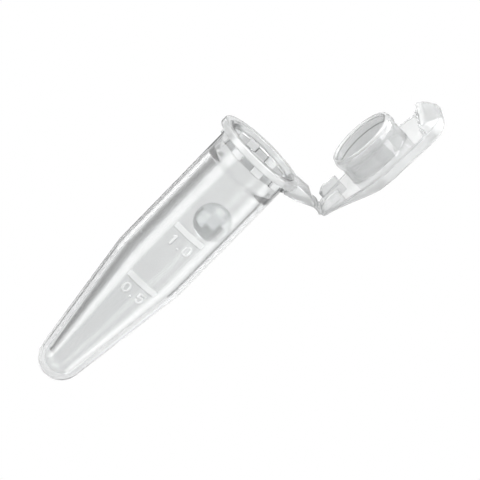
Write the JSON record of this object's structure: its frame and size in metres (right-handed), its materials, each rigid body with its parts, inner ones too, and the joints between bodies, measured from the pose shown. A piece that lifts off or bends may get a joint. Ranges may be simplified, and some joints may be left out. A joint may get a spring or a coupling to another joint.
{
  "type": "microcentrifuge tube",
  "caption": "Clear polypropylene microcentrifuge tube with a conical base, toothed collar, volume marks, an open snap lid on a living hinge and a loose glass bead inside.",
  "frame": {"origin": "centre of the mouth, in the plane of the rim's top face", "axes": "+Z along the tube's axis and out of the mouth, +X from the axis to the lid's hinge, +Y completes a right-handed set"},
  "size_m": [0.0206, 0.013, 0.06],
  "materials": {
    "clear_polypropylene": "translucent natural polypropylene, smooth moulded",
    "bead_glass": "polished clear glass"
  },
  "bodies": {
    "tube": {"rim_flange": "clear_polypropylene", "locking_collar": "clear_polypropylene", "barrel": "clear_polypropylene", "conical_base": "clear_polypropylene", "hinge_tab": "clear_polypropylene", "hinge_knuckle": "clear_polypropylene", "volume_marks": "clear_polypropylene", "volume_numerals": "clear_polypropylene"},
    "lid": {"lid_disc": "clear_polypropylene", "lid_plug": "clear_polypropylene", "seal_ring": "clear_polypropylene", "hinge_tongue": "clear_polypropylene", "tongue_ribs": "clear_polypropylene", "thumb_tab": "clear_polypropylene", "thumb_lip": "clear_polypropylene", "latch_teeth": "clear_polypropylene"},
    "bead": {"glass_bead": "bead_glass"}
  },
  "joints": [
    {"name": "lid_hinge", "type": "hinge", "parent": "tube", "child": "lid", "pos_m": [0.01, 0, -0.00064], "axis": [0, 1, 0], "range_deg": [-95.6, 70]},
    {"name": "bead_slide", "type": "slide", "parent": "tube", "child": "bead", "axis": [-0.0729, 0.0206, -0.9971], "range_m": [0, 0.02379]}
  ]
}
